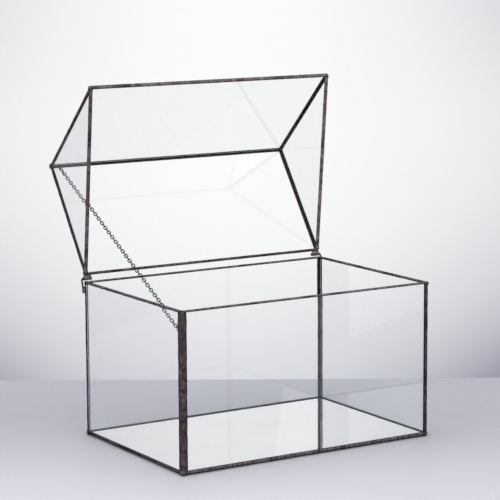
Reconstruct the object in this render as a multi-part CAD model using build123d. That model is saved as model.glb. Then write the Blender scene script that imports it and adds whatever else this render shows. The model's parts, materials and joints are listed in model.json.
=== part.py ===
from build123d import *
import os
from math import atan, atan2, ceil, cos, degrees, hypot, radians, sin

# A hinged glass box for wedding cards, made in the copper foil and solder way.
# Lengths are millimetres. X runs along the box, +Y to the hinged back and +Z up.
# The origin is the middle of the flat underside. The lid is modelled shut, and is
# turned back about its hinge at the end, until the chain stay is tight.

# ---- driving sizes -------------------------------------------------------------
base_length = 300.0         # over the solder, left to right
base_depth = 204.0          # over the solder, front to back
base_height = 165.0         # underside to the top of the rim
lid_shorter = 3.0           # lid than base, over both ends
lid_narrower = 1.0          # lid than base, front to back
lid_rise = 84.0             # inside height of the gable above the rim
lid_seat_gap = 0.4          # air between the shut lid and the rim of the base
open_angle = 84.5           # how far the tight chain lets the lid turn back

glass = 3.0                 # thickness of every pane
mirror_backing = 0.25       # silver and paint under the mirror
foil = 0.25                 # copper foil with its tinning
foil_lap = 1.6              # how far the foil folds over each face
fit_gap = 0.25              # half the gap that the solder fills between two panes
crown = 0.8                 # height of the solder over the foil
crown_fullness = 0.75       # of that height, half way down to the toe of the solder
inside_fillet = 1.9         # legs of the small solder fillet inside each corner
rim_crown = 0.9             # height of the solder on a free edge

hinge_behind = 2.0          # hinge axis behind the back of the base
hinge_above = 1.8           # hinge axis above the rim of the base
tube_radius = 1.8           # outside
tube_length = 10.0
tube_overhang = 0.5         # end of the tube beyond the end of the lid
tube_solder = 8.0           # length of the solder between tube and lid
tube_solder_height = 1.6    # and its thickness, up and down
pin_wire = 1.8              # diameter of the hinge wire
pin_clearance = 0.08        # between the wire and the bore, on the radius
pin_drop = 13.0             # height of the bent leg
pin_bend = 1.5              # radius of the bend, along the middle of the wire
pin_end_play = 0.6          # end of the tube to the side of the bent leg
pin_sunk = 0.3              # foot of the wire into the solder of the post
pin_solder = (1.7, 4.5)     # radius and half height of the drop on the foot

link_wire = 0.9             # diameter of the wire of a link
link_length = 6.2           # over the wire
link_width = 4.0            # over the wire
link_slack = 0.15           # least gap between two links pulled tight
eye_wire = 0.9              # diameter of the wire of an eye
eye_outside = 4.0           # diameter over the ring
eye_slack = 0.05            # gap between the ring and the link that it holds
eye_foot = 1.5              # radius of the solder foot of a wire eye
eye_foot_shift = 0.9        # foot towards the corner that carries it
lid_eye_lean = 7.0          # degrees from straight down, with the lid shut
base_eye_dip = 25.0         # degrees under level, towards the back
stay_inset_lid = 6.2        # chain to the inner face of the gable, at the ridge
stay_inset_base = 3.4       # chain to the inner faces beside the front left post
stay_below_rim = 25.0       # lower end of the chain under the rim of the base
stay_below_ridge = 3.6      # upper end of the chain under the inner ridge line
bend_runs = (3, 2, 2, 3, 2, 2, 3)           # links in the short runs of the hanging bend
upper_shares = (0.36, 0.30, 0.20, 0.14)     # how the links above the bend are shared out
lower_shares = (0.39, 0.61)                 # and those below it
lower_part = 0.2                            # share of the chain from the bend to the base

# ---- worked out from them ------------------------------------------------------
lid_length = base_length - lid_shorter
lid_depth = base_depth - lid_narrower
plate = glass + 2 * foil
floor_plate = plate + mirror_backing
leg = fit_gap + foil + foil_lap             # reach of a solder leg from the inner corner
inner_x = base_length / 2 - crown - plate
inner_y = base_depth / 2 - crown - plate
wall_top = base_height - rim_crown
rim_z = base_height + lid_seat_gap          # lowest plane of the shut lid
ridge_z = rim_z + lid_rise                  # inner ridge line of the shut lid
half_span = lid_depth / 2 - plate
slope = atan(lid_rise / half_span)
slope_length = hypot(lid_rise, half_span)
lid_inner_x = lid_length / 2 - crown - plate
lid_above = ridge_z + lid_rise              # a height well above the lid
lump_radius = hypot(plate + crown, leg)     # solder ball where three seams meet
lump_width = 2 * lump_radius
hinge_y = base_depth / 2 + hinge_behind
hinge_z = base_height + hinge_above

X, Y, Z = Vector(1, 0, 0), Vector(0, 1, 0), Vector(0, 0, 1)
ends = {"left": -1, "right": 1}
base = {}                   # pieces of the base and of the chain, where they stand
lid = {}                    # pieces of the lid, shut


def polygon(*points):
    return make_face(Polyline(*points, close=True))


def box_between(low, high):
    size = [b - a for a, b in zip(low, high)]
    return Pos(*low) * Box(*size, align=(Align.MIN, Align.MIN, Align.MIN))


def cut_by(body, tools):
    """Take every tool away and keep the largest piece that is left."""
    for tool in tools:
        body = body - tool
    return max(body.solids(), key=lambda solid: solid.volume)


# ---- panes and their foil ------------------------------------------------------
def inset(outline, distance):
    return offset(outline, amount=-distance, kind=Kind.INTERSECTION)


def envelope(plane, outline, thickness=plate):
    """A pane with its foil as one block. Solder is cut back to it."""
    return plane.location * extrude(outline, thickness)


def pane(plane, outline):
    return plane.location * (Pos(0, 0, foil) * extrude(inset(outline, foil), glass))


def foil_frame(plane, outline, thickness=plate):
    """The foil folded round the edge of a pane and over both of its faces."""
    core = Pos(0, 0, foil) * extrude(inset(outline, foil), thickness - 2 * foil)
    window = extrude(inset(outline, foil + foil_lap), thickness)
    return plane.location * (extrude(outline, thickness) - core - window)


def rectangle(half_width, low, high):
    return polygon((-half_width, low), (half_width, low), (half_width, high), (-half_width, high))


# Each plane lies on the inner face of a pane and looks outward.
wide = inner_x - fit_gap
deep = inner_y - fit_gap
walls = {
    "front": (Plane((0, -inner_y, 0), x_dir=(1, 0, 0), z_dir=(0, -1, 0)), wide),
    "back": (Plane((0, inner_y, 0), x_dir=(-1, 0, 0), z_dir=(0, 1, 0)), wide),
    "left": (Plane((-inner_x, 0, 0), x_dir=(0, -1, 0), z_dir=(-1, 0, 0)), deep),
    "right": (Plane((inner_x, 0, 0), x_dir=(0, 1, 0), z_dir=(1, 0, 0)), deep),
}
base_panes = []
for side, (plane, half_width) in walls.items():
    outline = rectangle(half_width, floor_plate + fit_gap, wall_top)
    base["base_glass_" + side] = pane(plane, outline)
    base["base_foil_" + side] = foil_frame(plane, outline)
    base_panes.append(envelope(plane, outline))

floor_plane = Plane((0, 0, floor_plate), x_dir=(1, 0, 0), z_dir=(0, 0, -1))
floor_outline = rectangle(wide, -deep, deep)
backing = Pos(0, 0, foil + glass) * extrude(inset(floor_outline, foil), mirror_backing)
base["mirror_floor"] = pane(floor_plane, floor_outline)
base["mirror_backing"] = floor_plane.location * backing
base["mirror_foil"] = foil_frame(floor_plane, floor_outline, floor_plate)
base_panes.append(envelope(floor_plane, floor_outline, floor_plate))

slopes = {
    "front": Plane((0, 0, ridge_z), x_dir=(1, 0, 0), z_dir=(0, -sin(slope), cos(slope))),
    "rear": Plane((0, 0, ridge_z), x_dir=(-1, 0, 0), z_dir=(0, sin(slope), cos(slope))),
}
gables = {
    "left": Plane((-lid_inner_x, 0, 0), x_dir=(0, -1, 0), z_dir=(-1, 0, 0)),
    "right": Plane((lid_inner_x, 0, 0), x_dir=(0, 1, 0), z_dir=(1, 0, 0)),
}
slope_outline = rectangle(lid_inner_x - fit_gap, -slope_length, -fit_gap)
gable_low = rim_z + rim_crown
gable_apex = ridge_z - fit_gap / cos(slope)
gable_half = (gable_apex - gable_low) * half_span / lid_rise
gable_outline = polygon((-gable_half, gable_low), (gable_half, gable_low), (0, gable_apex))
lid_panes = []
for side, plane in slopes.items():
    lid["lid_glass_" + side] = pane(plane, slope_outline)
    lid["lid_foil_" + side] = foil_frame(plane, slope_outline)
    lid_panes.append(envelope(plane, slope_outline))
for side, plane in gables.items():
    lid["lid_gable_" + side] = pane(plane, gable_outline)
    lid["lid_gable_foil_" + side] = foil_frame(plane, gable_outline)
    lid_panes.append(envelope(plane, gable_outline))


# ---- solder seams --------------------------------------------------------------
def seam(corner, first, second, run):
    """Solder along the corner of two panes, drawn square to the run and pushed along it.

    Each side is (away, out, thickness, rise): the way its pane leaves the corner, the way
    it faces, how thick it is with its foil, and how high the solder stands on it.
    """
    edges, tops, fillet_ends, reach = [], [], [], 0
    for away, out, thickness, rise in (first, second):
        top = corner + out * (thickness + rise)
        back = corner + away * fit_gap + out * thickness
        heel = corner + away * fit_gap
        fillet_end = corner + away * inside_fillet
        if rise:
            middle = corner + away * (leg / 2) + out * (thickness + crown_fullness * rise)
            toe = corner + away * leg + out * thickness
            edges += [Edge.make_three_point_arc(top, middle, toe), Edge.make_line(toe, back)]
        else:
            edges.append(Edge.make_line(top, back))
        edges += [Edge.make_line(back, heel), Edge.make_line(heel, fillet_end)]
        tops.append(top)
        fillet_ends.append(fillet_end)
        reach += (thickness + rise) / 2
    outward = (first[1] + second[1]).normalized()
    edges.append(Edge.make_three_point_arc(tops[0], corner + outward * reach, tops[1]))
    edges.append(Edge.make_line(*fillet_ends))
    return extrude(Face(Wire(edges)), amount=run.length, dir=run.normalized())


def crowned(away, out):
    return (away, out, plate, crown)


def flush_floor(away):
    return (away, -Z, floor_plate, 0)


post_low = floor_plate + leg
post_top = wall_top + foil
for back_front, sy in (("front", -1), ("back", 1)):
    for left_right, sx in ends.items():
        base["post_" + back_front + "_" + left_right] = seam(
            Vector(sx * inner_x, sy * inner_y, post_low),
            crowned(-X * sx, Y * sy),
            crowned(-Y * sy, X * sx),
            Z * (post_top - post_low),
        )

seam_x = inner_x - leg
seam_y = inner_y - leg
for side, sy in (("front", -1), ("back", 1)):
    corner = Vector(-seam_x, sy * inner_y, floor_plate)
    base["floor_seam_" + side] = seam(corner, crowned(Z, Y * sy), flush_floor(-Y * sy), X * 2 * seam_x)
for side, sx in ends.items():
    corner = Vector(sx * inner_x, -seam_y, floor_plate)
    base["floor_seam_" + side] = seam(corner, crowned(Z, X * sx), flush_floor(-X * sx), Y * 2 * seam_y)

downhill = {"front": Vector(0, -cos(slope), -sin(slope)), "rear": Vector(0, cos(slope), -sin(slope))}
facing = {side: plane.z_dir for side, plane in slopes.items()}
ridge_run = 2 * (lid_inner_x - leg)
lid["ridge_seam"] = seam(
    Vector(-ridge_run / 2, 0, ridge_z),
    crowned(downhill["front"], facing["front"]),
    crowned(downhill["rear"], facing["rear"]),
    X * ridge_run,
)
above_rim = box_between((-lid_length, -lid_depth, rim_z), (lid_length, lid_depth, lid_above))
for side in slopes:
    for left_right, sx in ends.items():
        bar = seam(
            Vector(sx * lid_inner_x, 0, ridge_z) + downhill[side] * leg,
            crowned(-X * sx, facing[side]),
            crowned(-facing[side], X * sx),
            downhill[side] * (slope_length - leg),
        )
        lid["gable_seam_" + side + "_" + left_right] = bar & above_rim


# ---- solder on the free edges --------------------------------------------------
def edge_bead(plane, half_width, height, way):
    """A rounded bead on a free foiled edge, as wide as the foiled pane is thick."""
    flat = Line((height, 0), (height, plate))
    dome = ThreePointArc((height, plate), (height + way * rim_crown, plate / 2), (height, 0))
    section = Plane.YZ.location * make_face(flat + dome)
    return (plane.location * extrude(section, half_width, both=True)).solid()


base["base_rim_solder"] = Compound(
    [edge_bead(plane, half_width, wall_top, 1) for plane, half_width in walls.values()]
)
lid_beads = [edge_bead(plane, lid_inner_x - leg, -slope_length, -1) for plane in slopes.values()]
lid_beads += [edge_bead(plane, gable_half - leg, gable_low, -1) for plane in gables.values()]
lid["lid_rim_solder"] = Compound(lid_beads)


# ---- solder balls where three seams meet ---------------------------------------
def base_ball(sx, sy):
    """The ball at one bottom corner, cut to the panes and level with the underside."""
    xs = sorted((sx * seam_x, sx * base_length))
    ys = sorted((sy * seam_y, sy * base_depth))
    ball = Pos(sx * inner_x, sy * inner_y, floor_plate) * Sphere(lump_radius)
    ball = ball & box_between((xs[0], ys[0], 0), (xs[1], ys[1], post_low))
    return cut_by(ball, base_panes + [hollow])


def ridge_ball(sx):
    """The ball at one end of the ridge, between the three seams that meet there."""
    xs = sorted((sx * (lid_inner_x - leg), sx * lid_length))
    ball = Pos(sx * lid_inner_x, 0, ridge_z) * Sphere(lump_radius)
    ball = ball & box_between((xs[0], -lid_depth, rim_z), (xs[1], lid_depth, lid_above))
    return cut_by(ball, [lid_hollow, *below_the_ball, *lid_panes])


hollow = box_between((-inner_x, -inner_y, floor_plate), (inner_x, inner_y, base_height))
base["base_corner_solder"] = Compound([base_ball(sx, sy) for sx in (-1, 1) for sy in (-1, 1)])

lid_hollow = extrude(
    gables["right"].location * polygon((-half_span, rim_z), (half_span, rim_z), (0, ridge_z)),
    -2 * lid_inner_x,
)
below_the_ball = [
    Plane((0, 0, ridge_z), x_dir=(1, 0, 0), z_dir=way).location
    * box_between((-lid_length, -lump_width, leg), (lid_length, lump_width, lump_width))
    for way in downhill.values()
]
lid["ridge_end_solder"] = Compound([ridge_ball(sx) for sx in (-1, 1)])

# ---- wire hinge, drawn at the left end and mirrored to the right ---------------
tube_end = -lid_length / 2 - tube_overhang
tube_place = Plane((tube_end + tube_length / 2, hinge_y, hinge_z), z_dir=(1, 0, 0)).location
tube_outside = tube_place * Cylinder(tube_radius, tube_length)
tube = tube_outside - tube_place * Cylinder(pin_wire / 2 + pin_clearance, tube_length)

pin_foot = (-base_length / 2 - pin_wire / 2 + pin_sunk, base_depth / 2 - pin_wire, hinge_z - pin_drop)
pin_route = FilletPolyline(
    (tube_end + tube_length - pin_wire, hinge_y, hinge_z),
    (tube_end - pin_end_play - pin_wire / 2, hinge_y, hinge_z),
    pin_foot,
    radius=pin_bend,
)
pin_section = Plane(pin_route @ 0, z_dir=pin_route % 0) * Circle(pin_wire / 2)
pin = cut_by(sweep(pin_section, path=pin_route), [base["post_back_left"]])

tube_middle = tube_end + tube_length / 2
tube_fillet = box_between(
    (tube_middle - tube_solder / 2, half_span, hinge_z - tube_solder_height / 2),
    (tube_middle + tube_solder / 2, hinge_y, hinge_z + tube_solder_height / 2),
)
tube_fillet = cut_by(tube_fillet, [tube_outside, lid["gable_seam_rear_left"], *lid_beads, *lid_panes])

# The drop's own seam line faces the post, in the part that the post cuts away.
drop_radius, drop_half = pin_solder
drop_turn = degrees(atan2(inner_y - pin_foot[1], -inner_x - pin_foot[0]))
drop = scale(Sphere(1), by=(drop_radius, drop_radius, drop_half))
drop = Pos(pin_foot[0], pin_foot[1], pin_foot[2] + drop_half / 2) * Rotation(0, 0, drop_turn) * drop
drop = cut_by(drop, [pin, base["post_back_left"], *base_panes])

lid["hinge_tube_left"] = tube
base["hinge_pin_left"] = pin
lid["hinge_tube_right"] = mirror(tube, Plane.YZ)
base["hinge_pin_right"] = mirror(pin, Plane.YZ)
lid["hinge_lid_solder"] = Compound([tube_fillet, mirror(tube_fillet, Plane.YZ)])
base["hinge_base_solder"] = Compound([drop, mirror(drop, Plane.YZ)])


# ---- chain stay ----------------------------------------------------------------
def turned_back(point):
    """Where a point of the shut lid goes when the lid is open."""
    angle = radians(open_angle)
    dy, dz = point.Y - hinge_y, point.Z - hinge_z
    y = hinge_y + dy * cos(angle) + dz * sin(angle)
    return Vector(point.X, y, hinge_z - dy * sin(angle) + dz * cos(angle))


def shared(total, shares):
    """Whole numbers that add up to the total, in about these shares."""
    counts = [round(total * share) for share in shares[:-1]]
    return counts + [total - sum(counts)]


def chain_link(way, across):
    """An oval link with its length along one vector and square to the other."""
    bend = (link_width - link_wire) / 2
    half = (link_length - link_width) / 2
    oval = Wire(
        [
            Edge.make_line((-half, bend), (half, bend)),
            Edge.make_three_point_arc((half, bend), (half + bend, 0), (half, -bend)),
            Edge.make_line((half, -bend), (-half, -bend)),
            Edge.make_three_point_arc((-half, -bend), (-half - bend, 0), (-half, bend)),
        ]
    )
    link = sweep(Plane((0, bend, 0), z_dir=(1, 0, 0)) * Circle(link_wire / 2), path=oval)
    return Plane((0, 0, 0), x_dir=way, z_dir=across).location * link


def wire_eye(end, pull, corner_way, tools):
    """A ring whose wire the end link turns on, on a foot of solder in the corner."""
    radius = (eye_outside - eye_wire) / 2
    centre = end - pull * radius
    ring = Plane(centre, x_dir=(1, 0, 0), z_dir=X.cross(pull)) * Torus(radius, eye_wire / 2)
    foot_place = centre - pull * (eye_outside / 2) + corner_way * eye_foot_shift
    return cut_by(ring + Pos(*foot_place) * Sphere(eye_foot), tools)


shut_end = Vector(-lid_inner_x + stay_inset_lid, 0, ridge_z - stay_below_ridge)
upper_end = turned_back(shut_end)
lower_end = Vector(
    -inner_x + stay_inset_base, -inner_y + stay_inset_base, base_height - stay_below_rim
)
stay = lower_end - upper_end
stay_way = stay.normalized()
end_hold = (link_length - link_wire - eye_wire) / 2 - link_wire / 2 - eye_slack
linked = stay.length - 2 * end_hold             # from the middle of the first link to the last
longest_pitch = link_length - 2 * link_wire - link_slack
link_count = 2 * ceil(linked / longest_pitch / 2) + 1       # odd, so both ends match
pitch = linked / (link_count - 1)

below = round(link_count * lower_part)
above = link_count - below - sum(bend_runs)
runs = shared(above, upper_shares) + list(bend_runs) + shared(below, lower_shares)
link_kinds = (chain_link(stay_way, X), chain_link(stay_way, X.cross(stay_way)))
first_link = 0
for number, count in enumerate(runs, 1):
    places = [(n, upper_end + stay_way * (end_hold + pitch * n)) for n in range(first_link, first_link + count)]
    base["chain_run_%02d" % number] = Compound(
        [(Pos(*place) * link_kinds[n % 2]).solid() for n, place in places]
    )
    first_link += count

# Each eye points midway between the pulls of the tight chain and of the hanging one.
lid_lean, base_dip = radians(lid_eye_lean), radians(base_eye_dip)
lid_pull = Vector(0, sin(lid_lean), -cos(lid_lean))
base_pull = Vector(0, cos(base_dip), -sin(base_dip))
lid["chain_eye_lid"] = wire_eye(shut_end, lid_pull, Z * 0, [*lid_panes, lid["ridge_seam"]])
base["chain_eye_base"] = wire_eye(
    lower_end, base_pull, (-X - Y).normalized(), [*base_panes, base["post_front_left"]]
)

# ---- write each piece ----------------------------------------------------------
os.makedirs("parts", exist_ok=True)
hinge_axis = Axis((0, hinge_y, hinge_z), (1, 0, 0))
for name, shape in base.items():
    export_step(shape, "parts/" + name + ".step")
for name, shape in lid.items():
    export_step(shape.rotate(hinge_axis, -open_angle), "parts/" + name + ".step")

print("pieces", len(base) + len(lid), "slope of the lid", round(degrees(slope), 2))
print("chain links", link_count, "pitch", round(pitch, 4), "runs", runs)
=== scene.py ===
import json
import math
import bpy
from mathutils import Matrix, Vector, noise


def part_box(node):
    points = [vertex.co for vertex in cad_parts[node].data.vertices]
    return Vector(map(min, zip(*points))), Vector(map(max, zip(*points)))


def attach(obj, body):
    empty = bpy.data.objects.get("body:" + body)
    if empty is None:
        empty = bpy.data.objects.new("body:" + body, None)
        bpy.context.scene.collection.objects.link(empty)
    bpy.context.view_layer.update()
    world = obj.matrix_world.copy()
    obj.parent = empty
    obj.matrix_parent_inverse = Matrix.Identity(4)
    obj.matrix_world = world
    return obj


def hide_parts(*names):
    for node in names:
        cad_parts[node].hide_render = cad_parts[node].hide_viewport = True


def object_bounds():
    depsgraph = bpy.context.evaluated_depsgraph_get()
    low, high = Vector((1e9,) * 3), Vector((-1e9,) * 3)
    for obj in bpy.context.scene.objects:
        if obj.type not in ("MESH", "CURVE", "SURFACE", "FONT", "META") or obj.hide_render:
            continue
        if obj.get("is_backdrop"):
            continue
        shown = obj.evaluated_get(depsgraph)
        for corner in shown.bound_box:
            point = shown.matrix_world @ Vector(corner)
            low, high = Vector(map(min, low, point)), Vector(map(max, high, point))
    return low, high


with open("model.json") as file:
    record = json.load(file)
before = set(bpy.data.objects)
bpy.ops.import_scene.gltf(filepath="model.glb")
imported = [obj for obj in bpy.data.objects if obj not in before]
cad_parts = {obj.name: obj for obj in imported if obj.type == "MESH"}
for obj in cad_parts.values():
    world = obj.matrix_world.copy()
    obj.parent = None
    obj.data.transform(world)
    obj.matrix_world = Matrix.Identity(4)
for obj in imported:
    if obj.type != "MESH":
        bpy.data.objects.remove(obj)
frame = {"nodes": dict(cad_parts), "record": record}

# The looks of a hinged glass box in hand-run solder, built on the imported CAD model.
# Everything is in metres and in the CAD model's frame. MM turns millimetres into metres.

MM = 0.001
cad_low, cad_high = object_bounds()
nodes = frame["nodes"]
joints = {joint["name"]: joint for joint in frame["record"]["behaviour"]["joints"]}
X, Y, Z = Vector((1, 0, 0)), Vector((0, 1, 0)), Vector((0, 0, 1))

# ---- sizes of the solder that the boxes of the nodes don't give -----------------
GAP = 0.25 * MM             # half the gap between two panes
FOIL = 0.25 * MM            # thickness of the tinned foil
LEG = 2.1 * MM              # widest reach of a seam along a face, from the inner corner
SLIM_LEG = 1.2 * MM         # of the seams that run narrower
FLOOR_LEG = 0.6 * MM        # of the floor seams, up the walls
FILLET = 0.6 * MM           # legs of the fillet inside a corner
LAP = 1.25 * MM             # foil on the faces of a pane, along a free edge
INNER_LAP = 0.8 * MM        # and inside the box, along a seam
FLOOR_LAP = 0.35 * MM       # and along the floor
STEP = 0.8 * MM             # between two cross-sections of a bead
RIPPLE_STEP = 0.5 * MM      # and of a rippled bead
RIPPLE = 5.6 * MM           # from one ripple of a bead to the next
SKIN = 0.12 * MM            # depth to which a bead is sunk into the foil under it
POST_FOOT = 1.2 * MM        # from the underside to the lower end of a post's bead
POST_TOP = 0.2 * MM         # from the top of the walls to its upper end
FLOOR_END = 0.4 * MM        # from the walls to the ends of a floor seam's bead
RIDGE_END = 0.5 * MM        # from the gables to the ends of the ridge's bead
GABLE_TOP = 0.6 * MM        # from the ridge to the upper end of a gable's bead
GABLE_FOOT = 0.2 * MM       # from the rim of the lid to its lower end
CREST_POINTS = 9            # round the outside of a bead
DROP_RINGS, DROP_SIDES = 18, 28


# ---- meshes --------------------------------------------------------------------
class Solder:
    """Gathers beads and drops into one mesh, with a value at every point that lightens the patina there:
    partly wear, partly painted shade at the edges and painted highlight on the crests.
    """

    def __init__(self, low=cad_low, high=cad_high):
        self.points, self.faces, self.wear_and_sheen = [], [], []
        self.low, self.high = low, high

    def add_point(self, point, wear_and_sheen):
        held = [min(max(c, a), b) for c, a, b in zip(point, self.low, self.high)]
        self.points.append(Vector(held))
        self.wear_and_sheen.append(wear_and_sheen)

    def add_rings(self, rings):
        """Joins rings of (point, wear) into a closed tube with a fan over each end."""
        first, count = len(self.points), len(rings[0])
        for ring in rings:
            for point, wear_and_sheen in ring:
                self.add_point(point, wear_and_sheen)
        for r in range(len(rings) - 1):
            for k in range(count):
                a, b = first + r * count + k, first + r * count + (k + 1) % count
                self.faces.append((a, b, b + count, a + count))
        for r in (0, len(rings) - 1):
            ring = [first + r * count + k for k in range(count)]
            middle = sum((self.points[i] for i in ring), Vector()) / count
            self.add_point(middle, self.wear_and_sheen[ring[0]])
            tip = len(self.points) - 1
            for k in range(count):
                self.faces.append((ring[(k + 1) % count], ring[k], tip))

    def add_drop(self, centre, radii, seed, rough=0.16, wear_and_sheen=0.5):
        """A lump of solder: a ball with uneven radii."""
        first = len(self.points)
        for i in range(DROP_RINGS + 1):
            polar = math.pi * i / DROP_RINGS
            level, spread = math.cos(polar), math.sin(polar)
            for k in range(DROP_SIDES):
                turn = 2 * math.pi * k / DROP_SIDES
                way = Vector((spread * math.cos(turn), spread * math.sin(turn), level))
                swell = 1 + rough * noise.noise(way * 1.3 + Vector((seed * 5.1, seed * 2.3, 0)))
                swell += 0.35 * rough * noise.noise(way * 3.7 + Vector((0, seed * 4.7, seed)))
                place = Vector(c * r * swell for c, r in zip(way, radii))
                # lighter patches of the patina: partly wear, partly painted sheen
                patch = 0.5 + 0.5 * noise.noise(way * 2.1 + Vector((seed, 0, seed * 3.3)))
                self.add_point(centre + place, wear_and_sheen * (0.4 + patch))
        for i in range(DROP_RINGS):
            ring = first + i * DROP_SIDES
            for k in range(DROP_SIDES):
                a, b = ring + k, ring + (k + 1) % DROP_SIDES
                self.faces.append((a, a + DROP_SIDES, b + DROP_SIDES, b))

    def finish(self, name, body, replaced, turn=None):
        """Makes the piece, turned if asked and held inside the box of the CAD model."""
        mesh = bpy.data.meshes.new(name)
        points = [turn @ p for p in self.points] if turn else self.points
        points = [[min(max(c, a), b) for c, a, b in zip(p, cad_low, cad_high)] for p in points]
        mesh.from_pydata(points, [], self.faces)
        mesh.validate()
        # the per-point lightening of the patina: partly wear, partly painted shade and painted highlight
        layer = mesh.attributes.new("wear_and_sheen", "FLOAT", "POINT")
        layer.data.foreach_set("value", self.wear_and_sheen)
        mesh.shade_smooth()
        piece = bpy.data.objects.new(name, mesh)
        bpy.context.scene.collection.objects.link(piece)
        piece.data.materials.append(materials["solder"])
        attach(piece, body)
        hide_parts(*replaced)


def wave(where, seed, length):
    """Smooth noise from -1 to 1 along a bead, with that many millimetres from swell to swell."""
    return noise.noise(Vector((where / MM / length, seed * 7.31, seed * 1.93)))


def turned(a, b, share):
    """The unit vector that far round from a to b."""
    whole = a.angle(b)
    return (a * math.sin((1 - share) * whole) + b * math.sin(share * whole)) / math.sin(whole)


def add_seam(solder, start, end, first, second, seed, ripple=0.0, wear_and_highlight=1.0):
    """A hand-run bead in the corner of two panes, from start to end along the inner corner.

    Each side is (away, out, thick, crown, leg): the way its pane leaves the corner, the way
    it faces, how thick it is with its foil, how high the solder stands on it and how far it
    reaches along it. The last argument says how much the bead's patina is lightened, partly
    as rubbed wear and partly as painted highlight.
    """
    length = (end - start).length
    count = max(2, round(length / (RIPPLE_STEP if ripple else STEP)))
    rings = []
    for i in range(count + 1):
        along = length * i / count
        corner = start.lerp(end, i / count)
        swell = 0.24 * wave(along, seed, 15) + 0.16 * wave(along, seed + 3, 5)
        swell += 0.07 * wave(along, seed, 1.7)
        comb = math.sin(2 * math.pi * along / RIPPLE + 2.5 * wave(along, seed, 9))
        swell += ripple * (comb - 1)
        height = (swell - 0.30) * MM
        # how much the patina is lightened here: partly rubbed wear, partly painted highlight
        worn_and_highlit = wear_and_highlight * (0.5 + 0.5 * wave(along, seed + 11, 22) + 0.35 * wave(along, seed + 5, 4))
        worn_and_highlit = max(worn_and_highlit, 0) * (1 + 5 * ripple * comb)
        halves = []
        for index, (away, out, thick, crown, leg) in enumerate((first, second)):
            uneven = 0.16 * wave(along, seed + 20 + index, 8)
            uneven += 0.08 * wave(along, seed + 30 + index, 2.3)
            reach = leg * (1 + uneven)
            rise = max(crown + height, 0.15 * MM) if crown else 0
            half = []
            if crown:
                # the lightening falls toward the toes: painted shade at the edges of the bead
                half.append((corner + away * (reach * 0.40) + out * (thick + 0.93 * rise), 0.8 * worn_and_highlit))
                half.append((corner + away * (reach * 0.68) + out * (thick + 0.66 * rise), 0.5 * worn_and_highlit))
                half.append((corner + away * (reach * 0.90) + out * (thick + 0.28 * rise), 0.2 * worn_and_highlit))
                half.append((corner + away * reach + out * (thick + 0.02 * MM), 0.05))
                half.append((corner + away * (reach - 0.1 * MM) + out * (thick - SKIN), 0.0))
            half.append((corner + away * GAP * 0.9 + out * thick * 0.55, 0.0))
            inner = FILLET * (1 + 0.3 * wave(along, seed + 40 + index, 6))
            half.append((corner + away * GAP * 0.9 + out * 0.05 * MM, 0.0))
            half.append((corner + away * inner - out * 0.03 * MM, 0.05))
            halves.append(half)
        crest = []
        for k in range(CREST_POINTS):
            share = k / (CREST_POINTS - 1)
            thick = first[2] * (1 - share) + second[2] * share
            crown = first[3] * (1 - share) + second[3] * share
            lump = 0.06 * MM * wave(along + share * 9 * MM, seed + 50, 3)
            radius = thick + (max(crown + height, 0.1 * MM) if crown else 0) + min(lump, 0)
            point = corner + turned(first[1], second[1], share) * radius
            # the crest is lightened most in its middle: painted highlight as well as wear
            crest.append((point, worn_and_highlit * (1.15 - 0.5 * abs(share - 0.5))))
        middle = corner + (first[0] + second[0]) * (FILLET * 0.36)
        rings.append(crest + halves[1] + [(middle, 0.1)] + halves[0][::-1])
    solder.add_rings(rings)


def add_rim(solder, start, end, up, out, thick, crown, seed, wear_and_highlight=1.0, ripple=0.0, lap=LAP):
    """A bead over the free edge of one pane, with slanting ripples.

    start and end lie on the pane's inner edge. Each point of the outline is how far out it
    is, how far up, and how much it is rippled and lightened; the lightening is partly wear and
    partly painted highlight on the top, with painted shade down on the laps.
    """
    length = (end - start).length
    count = max(2, round(length / (RIPPLE_STEP if ripple else STEP)))
    rings = []
    for i in range(count + 1):
        along = length * i / count
        edge = start.lerp(end, i / count)
        swell = 0.2 * wave(along, seed, 12) + 0.12 * wave(along, seed + 3, 4)
        top = min(crown * (0.82 + 0.5 * swell), crown)
        side = (0.22 + 0.45 * max(swell, -0.25)) * MM
        laps = []
        for face in (20, 30):
            uneven = 0.18 * wave(along, seed + face, 7) + 0.08 * wave(along, seed + face + 1, 2)
            laps.append(lap * (1 + uneven))
        # how much the patina is lightened here: partly rubbed wear, partly painted highlight
        worn_and_highlit = wear_and_highlight * (0.5 + 0.5 * wave(along, seed + 11, 20) + 0.3 * wave(along, seed + 5, 4))
        worn_and_highlit = max(worn_and_highlit, 0)
        outline = [
            (thick - SKIN, -laps[0] + 0.1 * MM, 0),
            (thick + 0.02 * MM, -laps[0], 0),
            (thick + 0.7 * side, -laps[0] * 0.8, 0.3),
            (thick + side, -laps[0] * 0.45, 0.7),
            (thick + side, -0.05 * MM, 0.9),
            (thick + 0.5 * side, 0.5 * top, 1.1),
            (thick * 0.82, 0.86 * top, 1.1),
            (thick * 0.5, top, 1.1),
            (thick * 0.18, 0.86 * top, 1.1),
            (-0.5 * side, 0.5 * top, 1.0),
            (-side, -0.05 * MM, 0.8),
            (-side, -laps[1] * 0.45, 0.6),
            (-0.7 * side, -laps[1] * 0.8, 0.3),
            (-0.02 * MM, -laps[1], 0),
            (SKIN, -laps[1] + 0.1 * MM, 0),
            (SKIN, -SKIN, 0),
            (thick - SKIN, -SKIN, 0),
        ]
        ring = []
        for u, v, share in outline:
            slant = (along + 1.6 * u - 1.6 * v) / RIPPLE
            comb = math.sin(2 * math.pi * slant + 2.5 * wave(along, seed, 9))
            dent = ripple * (comb - 1) * share * MM
            point = edge + out * (u - math.copysign(dent, thick / 2 - u)) + up * (v + dent)
            ring.append((point, share * worn_and_highlit * (1 + 5 * ripple * comb)))
        rings.append(ring)
    solder.add_rings(rings)


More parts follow.
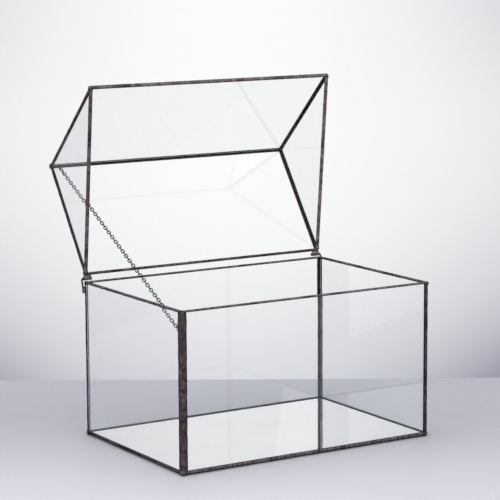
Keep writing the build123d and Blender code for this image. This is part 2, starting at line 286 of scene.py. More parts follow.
def inset(outline, distances):
    """Moves each side of an outline inward by its own distance. It runs anticlockwise."""
    moved = []
    for i, corner in enumerate(outline):
        before = (corner - outline[i - 1]).normalized()
        after = (outline[(i + 1) % len(outline)] - corner).normalized()
        d0, d1 = distances[i - 1], distances[i]
        n0, n1 = Vector((-before.y, before.x)), Vector((-after.y, after.x))
        turn = before.x * after.y - before.y * after.x
        along = (d1 - d0 * n0.dot(n1)) / turn
        moved.append(corner + n0 * d0 + before * -along)
    return moved


def add_foil(name, body, axes, outline, thick, inside, outside, replaced, turn=None):
    """Foil folded round the edge of a pane, with its own lap on each side of each face.

    axes are the origin on the inner face, two directions along it and the way it faces.
    """
    origin, u, v, out = axes
    edges, fold = outline, inset(outline, [FOIL] * len(outline))
    inner, outer = inset(outline, inside), inset(outline, outside)
    profile = ((edges, thick), (outer, thick), (outer, thick - FOIL), (fold, thick - FOIL))
    profile += ((fold, FOIL), (inner, FOIL), (inner, 0), (edges, 0))
    count = len(outline)
    points = [origin + u * p.x + v * p.y + out * height for line, height in profile for p in line]
    faces = []
    for level in range(len(profile)):
        here, there = level * count, (level + 1) % len(profile) * count
        for k in range(count):
            step = (k + 1) % count
            faces.append((here + k, there + k, there + step, here + step))
    if u.cross(v).dot(out) < 0:
        faces = [face[::-1] for face in faces]
    mesh = bpy.data.meshes.new(name)
    mesh.from_pydata([turn @ p for p in points] if turn else points, [], faces)
    mesh.materials.append(materials["foil"])
    piece = bpy.data.objects.new(name, mesh)
    bpy.context.scene.collection.objects.link(piece)
    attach(piece, body)
    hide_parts(replaced)


# ---- materials -----------------------------------------------------------------
class Look:
    """A new material and short ways to add nodes to it."""

    def __init__(self, name):
        self.material = bpy.data.materials.new(name)
        self.material.use_nodes = True
        self.tree = self.material.node_tree
        self.tree.nodes.clear()
        self.output = self.add("ShaderNodeOutputMaterial")
        self.place = self.add("ShaderNodeTexCoord").outputs["Object"]

    def add(self, kind, **values):
        node = self.tree.nodes.new(kind)
        for key, value in values.items():
            if hasattr(node, key):
                setattr(node, key, value)
            else:
                node.inputs[key.replace("_", " ")].default_value = value
        return node

    def link(self, source, target):
        self.tree.links.new(source, target)

    def noise(self, scale, detail=4.0, roughness=0.5, distortion=0.0):
        node = self.add("ShaderNodeTexNoise", Scale=scale, Detail=detail)
        node.inputs["Roughness"].default_value = roughness
        node.inputs["Distortion"].default_value = distortion
        self.link(self.place, node.inputs["Vector"])
        return node.outputs["Fac"]

    def ramp(self, source, *stops):
        """Colours or grey levels at positions along a value."""
        node = self.add("ShaderNodeValToRGB")
        ramp = node.color_ramp
        while len(ramp.elements) < len(stops):
            ramp.elements.new(0.5)
        for element, (position, colour) in zip(ramp.elements, stops):
            element.position = position
            grey = isinstance(colour, (int, float))
            element.color = (colour, colour, colour, 1) if grey else (*colour, 1)
        self.link(source, node.inputs["Fac"])
        return node.outputs["Color"]

    def mix(self, factor, a, b):
        node = self.add("ShaderNodeMix", data_type="RGBA")
        for socket, value in ((node.inputs[0], factor), (node.inputs[6], a), (node.inputs[7], b)):
            if isinstance(value, bpy.types.NodeSocket):
                self.link(value, socket)
            elif isinstance(value, tuple):
                socket.default_value = (*value, 1)
            else:
                socket.default_value = value
        return node.outputs[2]

    def math(self, operation, a, b=0.0, clamp=False):
        node = self.add("ShaderNodeMath", operation=operation, use_clamp=clamp)
        for socket, value in zip(node.inputs, (a, b)):
            if isinstance(value, bpy.types.NodeSocket):
                self.link(value, socket)
            else:
                socket.default_value = value
        return node.outputs[0]

    def surface(self, colour, roughness, bumps=(), **values):
        """A Principled shader. bumps are (height, strength, distance in metres)."""
        shader = self.add("ShaderNodeBsdfPrincipled")
        for socket, value in (("Base Color", colour), ("Roughness", roughness)):
            if isinstance(value, bpy.types.NodeSocket):
                self.link(value, shader.inputs[socket])
            else:
                shader.inputs[socket].default_value = (*value, 1) if isinstance(value, tuple) else value
        for key, value in values.items():
            shader.inputs[key.replace("_", " ")].default_value = value
        normal = None
        for height, strength, distance in bumps:
            bump = self.add("ShaderNodeBump", Strength=strength, Distance=distance)
            self.link(height, bump.inputs["Height"])
            if normal:
                self.link(normal, bump.inputs["Normal"])
            normal = bump.outputs["Normal"]
        if normal:
            self.link(normal, shader.inputs["Normal"])
        return shader.outputs["BSDF"]

    def done(self, shader):
        self.link(shader, self.output.inputs["Surface"])
        return self.material


def solder_material():
    """Black patina on solder with brown patches: dark at its edges and grey on the crests, partly wear and
    partly painted shade and painted highlight, with light spots that are partly rubbed and partly painted
    glints.
    """
    look = Look("patina_solder_painted_sheen")
    clouds = look.noise(130, 5, 0.62, 0.5)
    mottle = look.noise(330, 5, 0.6)
    grain = look.noise(1100, 5, 0.65)
    wear_and_sheen = look.add("ShaderNodeAttribute", attribute_name="wear_and_sheen").outputs["Fac"]
    base = look.ramp(
        clouds,
        (0.34, (0.008, 0.007, 0.008)),
        (0.50, (0.022, 0.019, 0.021)),
        (0.70, (0.066, 0.055, 0.060)),
    )
    brown = look.ramp(look.noise(60, 3, 0.5), (0.50, 0.0), (0.66, 1.0))
    base = look.mix(look.math("MULTIPLY", brown, 0.60), base, (0.060, 0.036, 0.029))
    # lighter grey on the crests: partly worn patina, partly painted highlight along the bead
    crest = look.math("MULTIPLY", wear_and_sheen, look.ramp(mottle, (0.36, 0.15), (0.60, 1.0)), clamp=True)
    base = look.mix(look.math("MULTIPLY", crest, 0.80), base, (0.29, 0.256, 0.275))
    # light spots where the patina is rubbed, partly painted glints
    spots = look.ramp(look.noise(210, 4, 0.65), (0.50, 0.0), (0.62, 1.0))
    rubbed_spots_and_glints = look.math("MULTIPLY", wear_and_sheen, spots, clamp=True)
    rubbed_spots_and_glints = look.math("MULTIPLY", rubbed_spots_and_glints, look.ramp(grain, (0.42, 0.0), (0.58, 1.0)), clamp=True)
    base = look.mix(look.math("MULTIPLY", rubbed_spots_and_glints, 0.65), base, (0.50, 0.42, 0.41))
    rough = look.ramp(look.mix(0.5, clouds, grain), (0.36, 0.46), (0.64, 0.24))
    bumps = ((mottle, 0.35, 0.0006), (grain, 0.30, 0.00025))
    return look.done(look.surface(base, rough, bumps, Metallic=0.92, Specular_Tint=(0.42, 0.40, 0.42, 1)))


def foil_material():
    """Copper foil, tinned and blackened, with the odd scrap of copper showing."""
    look = Look("patina_foil")
    clouds = look.noise(140, 5, 0.6)
    grain = look.noise(1500, 5, 0.6)
    base = look.ramp(clouds, (0.32, (0.014, 0.012, 0.012)), (0.62, (0.040, 0.031, 0.028)))
    scraps = look.ramp(look.noise(260, 4, 0.7), (0.66, 0.0), (0.74, 1.0))
    base = look.mix(look.math("MULTIPLY", scraps, 0.5), base, (0.16, 0.075, 0.045))
    rough = look.ramp(grain, (0.35, 0.58), (0.65, 0.38))
    return look.done(look.surface(base, rough, ((grain, 0.25, 0.0001),), Metallic=0.85))


def glass_material():
    """Clear float glass. Lamps shine through it."""
    look = Look("clear_glass")
    flow = look.noise(7, 2, 0.4)
    dust = look.ramp(look.noise(16, 3, 0.5), (0.30, 0.0), (0.80, 0.008))
    pane = look.surface(
        (0.994, 0.999, 0.997),
        dust,
        ((flow, 0.03, 0.002),),
        Transmission_Weight=1.0,
        IOR=1.45,
        Specular_IOR_Level=0.5,
    )
    lamp = look.add("ShaderNodeBsdfTransparent", Color=(0.97, 0.985, 0.98, 1)).outputs[0]
    join = look.add("ShaderNodeMixShader")
    look.link(look.add("ShaderNodeLightPath").outputs["Is Shadow Ray"], join.inputs[0])
    look.link(pane, join.inputs[1])
    look.link(lamp, join.inputs[2])
    return look.done(join.outputs[0])


def mirror_material():
    """Silvered glass with a faint haze."""
    look = Look("silvered_mirror")
    haze = look.ramp(look.noise(38, 5, 0.65), (0.40, 0.012), (0.75, 0.045))
    tint = look.ramp(look.noise(9, 3, 0.5), (0.35, (0.770, 0.777, 0.788)), (0.65, (0.80, 0.806, 0.815)))
    return look.done(look.surface(tint, haze, ((look.noise(5, 2, 0.4), 0.02, 0.002),), Metallic=1.0))


def backing_material():
    """Matt grey paint on the back of the mirror."""
    look = Look("backing_paint")
    grain = look.noise(700, 5, 0.6)
    base = look.ramp(look.noise(30, 4, 0.6), (0.35, (0.24, 0.25, 0.25)), (0.70, (0.33, 0.335, 0.33)))
    rough = look.ramp(grain, (0.35, 0.62), (0.65, 0.45))
    return look.done(look.surface(base, rough, ((grain, 0.3, 0.0001),)))


def tube_material():
    """Patinated brass, rubbed to a pinkish brown."""
    look = Look("worn_brass")
    clouds = look.noise(420, 5, 0.65)
    scratch = look.noise(2600, 4, 0.6, 1.5)
    base = look.ramp(
        clouds,
        (0.34, (0.060, 0.043, 0.040)),
        (0.52, (0.17, 0.125, 0.118)),
        (0.70, (0.36, 0.27, 0.25)),
    )
    rough = look.ramp(scratch, (0.35, 0.50), (0.65, 0.30))
    return look.done(look.surface(base, rough, ((scratch, 0.25, 0.00008),), Metallic=0.9))


def wire_material(name, dark, pale):
    """Dark drawn wire, from one colour to another, with fine scratches."""
    look = Look(name)
    clouds = look.noise(650, 4, 0.6)
    scratch = look.noise(4200, 4, 0.6, 0.8)
    base = look.ramp(clouds, (0.35, dark), (0.68, pale))
    rough = look.ramp(scratch, (0.35, 0.42), (0.65, 0.24))
    bumps = ((scratch, 0.2, 0.00005),)
    return look.done(look.surface(base, rough, bumps, Metallic=0.95, Specular_Tint=(0.3, 0.3, 0.3, 1)))


materials = {
    "solder": solder_material(),
    "foil": foil_material(),
    "glass": glass_material(),
    "mirror": mirror_material(),
    "backing": backing_material(),
    "hinge_tube": tube_material(),
    "hinge_wire": wire_material("dark_wire", (0.030, 0.026, 0.025), (0.12, 0.095, 0.088)),
    "chain": wire_material("gunmetal", (0.006, 0.006, 0.006), (0.030, 0.028, 0.030)),
}
for part in frame["record"]["subparts"]:
    node = nodes[part["node"]]
    node.data.materials.clear()
    node.data.materials.append(materials[part["material_slot"]])

# ---- solder of the base --------------------------------------------------------
left_foil, right_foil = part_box("base_foil_left"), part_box("base_foil_right")
front_foil, back_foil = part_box("base_foil_front"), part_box("base_foil_back")
inner = {-1: left_foil[1].x, 1: right_foil[0].x}
inner_y = {-1: front_foil[1].y, 1: back_foil[0].y}
plate = left_foil[1].x - left_foil[0].x                     # a pane with its foil
wall_top = left_foil[1].z
floor_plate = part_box("mirror_foil")[1].z
rim_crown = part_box("base_rim_solder")[1].z - wall_top
crown = left_foil[0].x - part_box("post_front_left")[0].x
sides = {"left": -1, "right": 1}
fronts = {"front": -1, "back": 1}

seed = 1
post_legs = {"front_left": 2.8 * MM, "front_right": 1.5 * MM, "back_left": 1.8 * MM, "back_right": 1.9 * MM}
for front, sy in fronts.items():
    for side, sx in sides.items():
        post = Solder()
        corner = Vector((inner[sx], inner_y[sy], 0))
        leg = post_legs[front + "_" + side]
        add_seam(
            post,
            corner + Z * POST_FOOT,
            corner + Z * (wall_top + POST_TOP),
            (-X * sx, Y * sy, plate, crown, leg),
            (-Y * sy, X * sx, plate, crown, leg),
            seed,
            # the back posts are lightened less: painted shade on the far posts
            wear_and_highlight=0.55 if front == "front" else 0.15,
        )
        post.finish("bead_post_%s_%s" % (front, side), "base", ["post_%s_%s" % (front, side)])
        seed += 1

for front, sy in fronts.items():
    bead = Solder()
    start = Vector((inner[-1] + FLOOR_END, inner_y[sy], floor_plate))
    end = Vector((inner[1] - FLOOR_END, inner_y[sy], floor_plate))
    wall, floor = (Z, Y * sy, plate, crown, FLOOR_LEG), (-Y * sy, -Z, floor_plate, 0, LEG)
    add_seam(bead, start, end, wall, floor, seed, ripple=0.10, wear_and_highlight=3.0)
    bead.finish("bead_floor_" + front, "base", ["floor_seam_" + front])
    seed += 1
for side, sx in sides.items():
    bead = Solder()
    start = Vector((inner[sx], inner_y[-1] + FLOOR_END, floor_plate))
    end = Vector((inner[sx], inner_y[1] - FLOOR_END, floor_plate))
    wall, floor = (Z, X * sx, plate, crown, FLOOR_LEG), (-X * sx, -Z, floor_plate, 0, LEG)
    add_seam(bead, start, end, wall, floor, seed, ripple=0.06)
    bead.finish("bead_floor_" + side, "base", ["floor_seam_" + side])
    seed += 1

rim = Solder()
for sy in (-1, 1):
    start, end = Vector((inner[-1], inner_y[sy], wall_top)), Vector((inner[1], inner_y[sy], wall_top))
    lap = LAP - 0.25 * MM
    add_rim(rim, start, end, Z, Y * sy, plate, rim_crown, seed, wear_and_highlight=1.7, ripple=0.05, lap=lap)
    seed += 1
for sx in (-1, 1):
    start, end = Vector((inner[sx], inner_y[-1], wall_top)), Vector((inner[sx], inner_y[1], wall_top))
    lap = LAP + 0.3 * MM
    add_rim(rim, start, end, Z, X * sx, plate, rim_crown, seed, wear_and_highlight=1.6, ripple=0.20, lap=lap)
    seed += 1
rim_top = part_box("base_rim_solder")[1].z
rim.low, rim.high = (cad_low.x, cad_low.y, 0), (cad_high.x, cad_high.y, rim_top)
for sx in (-1, 1):
    for sy in (-1, 1):
        spot = Vector((inner[sx] + sx * plate * 0.5, inner_y[sy] + sy * plate * 0.5, wall_top - 1.2 * MM))
        rim.add_drop(spot, (2.5 * MM, 2.5 * MM, 2.4 * MM), seed)
        seed += 1
rim.finish("bead_base_rim", "base", ["base_rim_solder"])

corners = Solder(*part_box("base_corner_solder"))
for sx in (-1, 1):
    for sy in (-1, 1):
        spot = Vector((inner[sx] + sx * plate * 0.42, inner_y[sy] + sy * plate * 0.42, 2.7 * MM))
        corners.add_drop(spot, (3.0 * MM, 3.0 * MM, 3.3 * MM), seed, rough=0.14, wear_and_sheen=0.75)
        seed += 1
corners.finish("drops_base_corners", "base", ["base_corner_solder"])

base_laps = [FLOOR_LAP, INNER_LAP, LAP, INNER_LAP]
foil_sides = [("front", Y, inner_y[-1], X, front_foil, -1), ("back", Y, inner_y[1], X, back_foil, 1)]
foil_sides += [("left", X, inner[-1], Y, left_foil, -1), ("right", X, inner[1], Y, right_foil, 1)]
for side, square, place, along, (low, high), sign in foil_sides:
    a, b = low.dot(along), high.dot(along)
    outline = [Vector(p) for p in ((a, low.z), (b, low.z), (b, high.z), (a, high.z))]
    axes = (square * place, along, Z, square * sign)
    add_foil("foil_base_" + side, "base", axes, outline, plate, base_laps, base_laps, "base_foil_" + side)
low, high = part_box("mirror_foil")
outline = [Vector(p) for p in ((low.x, low.y), (high.x, low.y), (high.x, high.y), (low.x, high.y))]
axes = (Z * floor_plate, X, Y, -Z)
add_foil("foil_mirror", "base", axes, outline, floor_plate, [FLOOR_LAP] * 4, [LEG] * 4, "mirror_foil")

# ---- solder of the lid, built shut and then turned back with it ----------------
lid_hinge = joints["lid_hinge"]
axis_point = Vector(lid_hinge["pos_m"])
to_shut = math.radians(lid_hinge["range_deg"][1])
turn_back = Matrix.Rotation(-to_shut, 4, "X")
open_lid = Matrix.Translation(axis_point) @ turn_back @ Matrix.Translation(-axis_point)
shut_lid = open_lid.inverted()


def shut_box(name):
    """Lowest and highest corner of a lid node with the lid shut."""
    points = [shut_lid @ v.co for v in nodes[name].data.vertices]
    return [Vector(f(p[k] for p in points) for k in range(3)) for f in (min, max)]


def lean(name):
    """Slope of a lid pane with the lid shut, from the normal of its largest face."""
    face = max(nodes[name].data.polygons, key=lambda polygon: polygon.area)
    normal = shut_lid.to_3x3() @ face.normal
    return math.atan2(abs(normal.y), abs(normal.z))


slope = lean("lid_glass_front")
lid_rim_z = shut_box("lid_foil_front")[0].z
half_span = -(shut_box("lid_foil_front")[0].y) - plate * math.sin(slope)
ridge_z = lid_rim_z + half_span * math.tan(slope)
lid_inner = shut_box("lid_gable_foil_right")[0].x
gable_low = shut_box("lid_gable_foil_right")[0].z
cosine, sine = math.cos(slope), math.sin(slope)
downhill = {"front": Vector((0, -cosine, -sine)), "rear": Vector((0, cosine, -sine))}
facing = {"front": Vector((0, -sine, cosine)), "rear": Vector((0, sine, cosine))}
slope_length = half_span / cosine
free = ((-1, -1, -1), (1, 1, 1))

ridge = Solder(*free)
add_seam(
    ridge,
    Vector((-lid_inner + RIDGE_END, 0, ridge_z)),
    Vector((lid_inner - RIDGE_END, 0, ridge_z)),
    (downhill["front"], facing["front"], plate, crown, SLIM_LEG),
    (downhill["rear"], facing["rear"], plate, crown, SLIM_LEG),
    seed,
    wear_and_highlight=1.4,
)
ridge.finish("bead_ridge", "lid", ["ridge_seam"], open_lid)
seed += 1
for front in downhill:
    for side, sx in sides.items():
        bar = Solder((-1, -1, lid_rim_z), (1, 1, 1))
        top = Vector((sx * lid_inner, 0, ridge_z))
        add_seam(
            bar,
            top + downhill[front] * GABLE_TOP,
            top + downhill[front] * (slope_length - GABLE_FOOT),
            (-X * sx, facing[front], plate, crown, SLIM_LEG),
            (-facing[front], X * sx, plate, crown, SLIM_LEG),
            seed,
        )
        place = "%s_%s" % (front, side)
        bar.finish("bead_gable_" + place, "lid", ["gable_seam_" + place], open_lid)
        seed += 1

lid_rim = Solder((-1, -1, lid_rim_z), (1, 1, 1))
for front, way in downhill.items():
    edge = Vector((0, 0, ridge_z)) + way * slope_length
    start, end = edge - X * lid_inner, edge + X * lid_inner
    add_rim(lid_rim, start, end, way, facing[front], plate, rim_crown, seed, wear_and_highlight=1.3)
    seed += 1
gable_half = half_span - (gable_low - lid_rim_z) / math.tan(slope)
for side, sx in sides.items():
    start = Vector((sx * lid_inner, -gable_half, gable_low))
    end = Vector((sx * lid_inner, gable_half, gable_low))
    add_rim(lid_rim, start, end, -Z, X * sx, plate, rim_crown, seed, wear_and_highlight=1.5 + 0.4 * sx)
    seed += 1
    for sy, way in ((-1, "front"), (1, "rear")):
        spot = Vector((sx * lid_inner, 0, ridge_z)) + downhill[way] * (slope_length - 1.6 * MM)
        spot += (facing[way] + X * sx) * plate * 0.5
        lid_rim.add_drop(spot, (2.6 * MM, 2.7 * MM, 2.5 * MM), seed, rough=0.18, wear_and_sheen=0.7)
        seed += 1
lid_rim.finish("bead_lid_rim", "lid", ["lid_rim_solder"], open_lid)

for front, way in downhill.items():
    points = [shut_lid @ v.co for v in nodes["lid_foil_" + front].data.vertices]
    down = [(p - Z * ridge_z).dot(way) for p in points]
    a, b = min(p.x for p in points), max(p.x for p in points)
    outline = [Vector(p) for p in ((a, -max(down)), (b, -max(down)), (b, -min(down)), (a, -min(down)))]
    laps = [LAP, INNER_LAP, INNER_LAP, INNER_LAP]
    axes = (Z * ridge_z, X, -way, facing[front])
    add_foil("foil_lid_" + front, "lid", axes, outline, plate, laps, laps, "lid_foil_" + front, open_lid)
for side, sx in sides.items():
    low, high = shut_box("lid_gable_foil_" + side)
    outline = [Vector(p) for p in ((low.y, low.z), (high.y, low.z), (0, high.z))]
    laps = [LAP, INNER_LAP, INNER_LAP]
    axes = (X * sx * lid_inner, Y, Z, X * sx)
    replaced = "lid_gable_foil_" + side
    add_foil("foil_gable_" + side, "lid", axes, outline, plate, laps, laps, replaced, open_lid)

knobs = Solder(*free)
for sx in sides.values():
    spot = Vector((sx * (lid_inner + plate * 0.4), 0, ridge_z + plate * 0.55))
    knobs.add_drop(spot, (3.2 * MM, 3.3 * MM, 3.3 * MM), seed, rough=0.15, wear_and_sheen=0.8)
    seed += 1
knobs.finish("drops_ridge_ends", "lid", ["ridge_end_solder"], open_lid)

# ---- solder of the hinge -------------------------------------------------------
low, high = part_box("hinge_tube_left")
tube_radius = (high.z - low.z) / 2
lid_fillets = Solder(*free)
for side in sides:
    low, high = (shut_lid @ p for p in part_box("hinge_tube_" + side))
    middle = Vector(((low.x + high.x) / 2, axis_point.y, axis_point.z))
    for step in (-1, 0, 1):
        spot = middle + X * step * 2.5 * MM + Vector((0, -tube_radius * 1.05, 0))
        lid_fillets.add_drop(spot, (2.4 * MM, 2.1 * MM, 1.5 * MM), seed, rough=0.15, wear_and_sheen=2.0)
        seed += 1
lid_fillets.finish("drops_hinge_lid", "lid", ["hinge_lid_solder"], open_lid)

base_fillets = Solder()
low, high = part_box("hinge_base_solder")
middle = (low + high) / 2
for sx in sides.values():
    for step in (-0.6, 0.0, 0.6):
        spot = Vector((sx * (high.x - 1.9 * MM), middle.y, middle.z + step * 3.4 * MM))
        base_fillets.add_drop(spot, (1.5 * MM, 1.5 * MM, 2.1 * MM), seed, rough=0.2, wear_and_sheen=0.7)
        seed += 1
base_fillets.finish("drops_hinge_base", "base", ["hinge_base_solder"])


# ---- chain: oval links in turn face on and edge on to the camera -----------------
LINK_LENGTH, LINK_WIDTH, LINK_WIRE = 6.2 * MM, 4.0 * MM, 0.9 * MM
LINK_STEP = 4.24 * MM       # about, from one link to the next
SETTLE = 5                  # links over which the chain twists away from its eyes
LINK_STATIONS, LINK_SIDES = 36, 12
CAMERA = Vector((-1.1409, -1.8224, 0.5402))


def add_link(points, faces, centre, way, flat):
    """An oval wire link. flat is the direction of its width."""
    bend, half = (LINK_WIDTH - LINK_WIRE) / 2, (LINK_LENGTH - LINK_WIDTH) / 2
    first = len(points)
    for i in range(LINK_STATIONS):
        turn = 2 * math.pi * (i + 0.5) / LINK_STATIONS
        shift = half if math.cos(turn) > 0 else -half
        spine = centre + way * (shift + bend * math.cos(turn)) + flat * bend * math.sin(turn)
        outward = way * math.cos(turn) + flat * math.sin(turn)
        square = way.cross(flat)
        for k in range(LINK_SIDES):
            roll = 2 * math.pi * k / LINK_SIDES
            points.append(spine + (outward * math.cos(roll) + square * math.sin(roll)) * LINK_WIRE / 2)
    for i in range(LINK_STATIONS):
        a, b = first + i * LINK_SIDES, first + (i + 1) % LINK_STATIONS * LINK_SIDES
        for k in range(LINK_SIDES):
            step = (k + 1) % LINK_SIDES
            faces.append((a + k, b + k, b + step, a + step))


def middle_of(points):
    return sum(points, Vector()) / len(points)


runs = sorted(name for name in nodes if name.startswith("chain_run_"))
run_points = {name: [v.co.copy() for v in nodes[name].data.vertices] for name in runs}
chain_way = (middle_of(run_points[runs[-1]]) - middle_of(run_points[runs[0]])).normalized()
anchor = middle_of(run_points[runs[0]])
links = []                          # (run, centre) of every link, from the eye in the lid down
for name in runs:
    reach = [(p - anchor).dot(chain_way) for p in run_points[name]]
    low, high = min(reach) + LINK_LENGTH / 2, max(reach) - LINK_LENGTH / 2
    count = round((high - low) / LINK_STEP) + 1
    for k in range(count):
        links.append((name, anchor + chain_way * (low + (high - low) * k / max(count - 1, 1))))
plain = X - chain_way * X.dot(chain_way)
plain.normalize()
to_camera = CAMERA - links[len(links) // 2][1]
seen = chain_way.cross(to_camera).normalized()
twist = math.atan2(plain.cross(seen).dot(chain_way), plain.dot(seen))
twist = (twist + math.pi / 4) % (math.pi / 2) - math.pi / 4
for name in runs:
    points, faces = [], []
    for index, (owner, centre) in enumerate(links):
        if owner != name:
            continue
        from_eye = min(index, len(links) - 1 - index) / SETTLE
        roll = twist * min(from_eye, 1) + 0.10 * wave(index * 5 * MM, 77, 17)
        roll += math.pi / 2 * ((index + 1) % 2)
        flat = Matrix.Rotation(roll, 3, chain_way) @ plain
        add_link(points, faces, centre, chain_way, flat)
    mesh = bpy.data.meshes.new("links_" + name)
    mesh.from_pydata(points, [], faces)
    mesh.materials.append(materials["chain"])
    mesh.shade_smooth()
    piece = bpy.data.objects.new("links_" + name[-2:], mesh)
    bpy.context.scene.collection.objects.link(piece)
    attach(piece, "chain_" + name[-2:])
    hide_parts(name)


# ---- table, backdrop, lights and camera ----------------------------------------
AZIMUTH, ELEVATION, ROLL = math.radians(-31.89), math.radians(9.04), math.radians(-0.314)
LENS = 150.35
TABLE_HALF = 1.6            # from the middle of the table to its sides, as the camera sees it
TABLE_NEAR = 1.3            # from the box to the edge of the table nearest the camera
TABLE_FAR = 0.272           # and to the edge behind the box
BACK = 3.2                  # from the box to the backdrop
BACKDROP_DIP = math.radians(5.2044)     # of the backdrop's middle below the level of the camera
ahead = Vector((-math.sin(AZIMUTH), math.cos(AZIMUTH), 0))
across = Vector((math.cos(AZIMUTH), math.sin(AZIMUTH), 0))


def stage_mesh(name, points, faces, material):
    """A part of the room, which isn't part of the object."""
    mesh = bpy.data.meshes.new(name)
    mesh.from_pydata(points, [], faces)
    mesh.materials.append(material)
    piece = bpy.data.objects.new(name, mesh)
    bpy.context.scene.collection.objects.link(piece)
    piece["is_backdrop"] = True
    return piece


def table_material():
    """Pale grey with a painted falloff of light: a little lighter toward the front and darker toward the
    back.
    """
    look = Look("pale_table")
    depth = look.add("ShaderNodeVectorMath", operation="DOT_PRODUCT")
    look.link(look.place, depth.inputs[0])
    depth.inputs[1].default_value = ahead
    # painted falloff of light: lighter toward the front of the table
    painted_falloff = look.math("MULTIPLY", look.math("SUBTRACT", 0.08, depth.outputs["Value"]), 2.6, clamp=True)
    base = look.ramp(painted_falloff, (0.0, (0.302, 0.303, 0.338)), (1.0, (0.455, 0.457, 0.485)))
    return look.done(look.surface(base, 0.55))


def backdrop_material():
    """A glowing backdrop with a painted pool of light: white in the middle, fading to pale lavender grey.
    """
    look = Look("soft_backdrop")
    split = look.add("ShaderNodeSeparateXYZ")
    look.link(look.place, split.inputs[0])
    wide = look.math("POWER", look.math("ABSOLUTE", look.math("ADD", split.outputs["X"], 0.05)), 2.0)
    down = look.math("MAXIMUM", look.math("MULTIPLY", split.outputs["Y"], -1.0), 0.0)
    up = look.math("MAXIMUM", split.outputs["Y"], 0.0)
    down = look.math("POWER", down, 2.5)
    fade = look.math("MULTIPLY", wide, 0.48)
    fade = look.math("ADD", fade, look.math("MULTIPLY", down, 0.90))
    fade = look.math("ADD", fade, look.math("MULTIPLY", look.math("MULTIPLY", down, wide), 2.2))
    fade = look.math("ADD", fade, look.math("MULTIPLY", look.math("MULTIPLY", up, wide), 1.2), clamp=True)
    colour = look.ramp(fade, (0.0, (0.965, 0.965, 0.968)), (1.0, (0.36, 0.355, 0.43)))
    # the backdrop glows by its own emission: painted light, not a lamp
    glow = look.add("ShaderNodeEmission")
    look.link(colour, glow.inputs["Color"])
    return look.done(glow.outputs[0])


TABLE_PROFILE = ((0.0, 0.0), (-0.004, 0.0015), (-0.03, 0.002), (-0.03, -0.05))
TABLE_TOP = Z * -0.0001     # a hair under the box
table_points = []
for down, out in TABLE_PROFILE:
    for sx, sy in ((-1, -1), (1, -1), (1, 1), (-1, 1)):
        reach = (TABLE_NEAR if sy < 0 else TABLE_FAR) + out
        corner = across * sx * (TABLE_HALF + out) + ahead * sy * reach
        table_points.append(corner + Z * down + TABLE_TOP)
table_faces = [(0, 1, 2, 3)]
for level in range(len(TABLE_PROFILE) - 1):
    for k in range(4):
        a, b = level * 4 + k, level * 4 + (k + 1) % 4
        table_faces.append((a, a + 4, b + 4, b))
stage_mesh("table", table_points, table_faces, table_material())

backdrop = stage_mesh(
    "backdrop",
    [(-7, -2.2, 0), (7, -2.2, 0), (7, 4, 0), (-7, 4, 0)],
    [(0, 1, 2, 3)],
    backdrop_material(),
)
dip = (BACK - CAMERA.dot(ahead)) * math.tan(BACKDROP_DIP)
upright = Matrix((across, Z, -ahead)).transposed().to_4x4()
backdrop.matrix_world = Matrix.Translation(ahead * BACK + Z * (CAMERA.z - dip)) @ upright


def soft_light(name, place, target, width, height, power, colour=(1, 1, 1)):
    """A softbox that lights the object without showing in its gloss."""
    data = bpy.data.lights.new(name, "AREA")
    data.shape = "RECTANGLE"
    data.size, data.size_y, data.energy, data.color = width, height, power, colour
    lamp = bpy.data.objects.new(name, data)
    lamp.location = place
    lamp.rotation_mode = "QUATERNION"
    lamp.rotation_quaternion = (Vector(target) - Vector(place)).to_track_quat("-Z", "Y")
    lamp.visible_glossy = False
    bpy.context.scene.collection.objects.link(lamp)


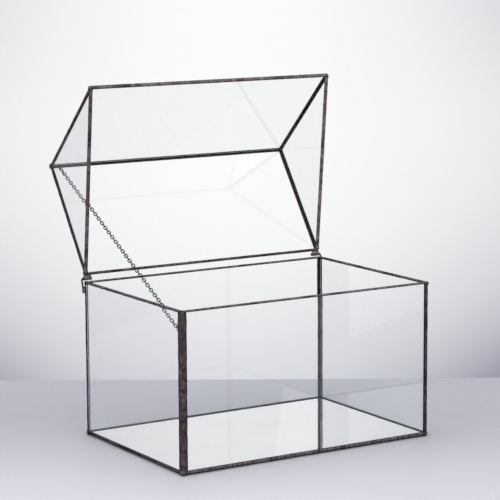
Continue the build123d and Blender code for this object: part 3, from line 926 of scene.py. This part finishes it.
soft_light("top_softbox", (-0.15, 0.1, 1.9), (0, 0, 0.1), 1.8, 1.4, 28)
soft_light("left_softbox", (-1.9, -0.4, 0.9), (0, 0, 0.15), 1.0, 1.4, 13, (1, 0.99, 0.98))
soft_light("right_softbox", (1.5, -1.3, 1.0), (0, 0, 0.15), 1.0, 1.2, 4)


def studio_world():
    """Bright behind the box and above it, and dim in front of it and below."""
    world = bpy.data.worlds.new("studio")
    world.use_nodes = True
    tree = world.node_tree
    way = tree.nodes.new("ShaderNodeTexCoord").outputs["Generated"]
    toward = tree.nodes.new("ShaderNodeVectorMath")
    toward.operation = "DOT_PRODUCT"
    toward.inputs[1].default_value = ahead * 0.55 + Z * 0.6
    shift = tree.nodes.new("ShaderNodeMath")
    shift.operation, shift.use_clamp = "ADD", True
    shift.inputs[1].default_value = 0.5
    ramp = tree.nodes.new("ShaderNodeValToRGB")
    ramp.color_ramp.elements[0].color = (0.40, 0.40, 0.42, 1)
    ramp.color_ramp.elements[1].color = (1.0, 1.0, 1.02, 1)
    tree.links.new(way, toward.inputs[0])
    tree.links.new(toward.outputs["Value"], shift.inputs[0])
    tree.links.new(shift.outputs[0], ramp.inputs["Fac"])
    tree.links.new(ramp.outputs["Color"], tree.nodes["Background"].inputs["Color"])
    tree.nodes["Background"].inputs["Strength"].default_value = 1.1
    return world


bpy.context.scene.world = studio_world()

camera_data = bpy.data.cameras.new("camera")
camera_data.lens, camera_data.sensor_width = LENS, 36
camera_data.clip_start, camera_data.clip_end = 0.05, 50
camera = bpy.data.objects.new("camera", camera_data)
bpy.context.scene.collection.objects.link(camera)
look_way = ahead * math.cos(ELEVATION) - Z * math.sin(ELEVATION)
upward = across.cross(look_way)
right = across * math.cos(ROLL) + upward * math.sin(ROLL)
above = upward * math.cos(ROLL) - across * math.sin(ROLL)
camera.matrix_world = Matrix.Translation(CAMERA) @ Matrix((right, above, -look_way)).transposed().to_4x4()
bpy.context.scene.camera = camera

scene = bpy.context.scene
scene.view_settings.view_transform = "Standard"
scene.cycles.max_bounces = 24
scene.cycles.transmission_bounces = 24
scene.cycles.glossy_bounces = 8
scene.cycles.transparent_max_bounces = 16

low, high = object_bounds()
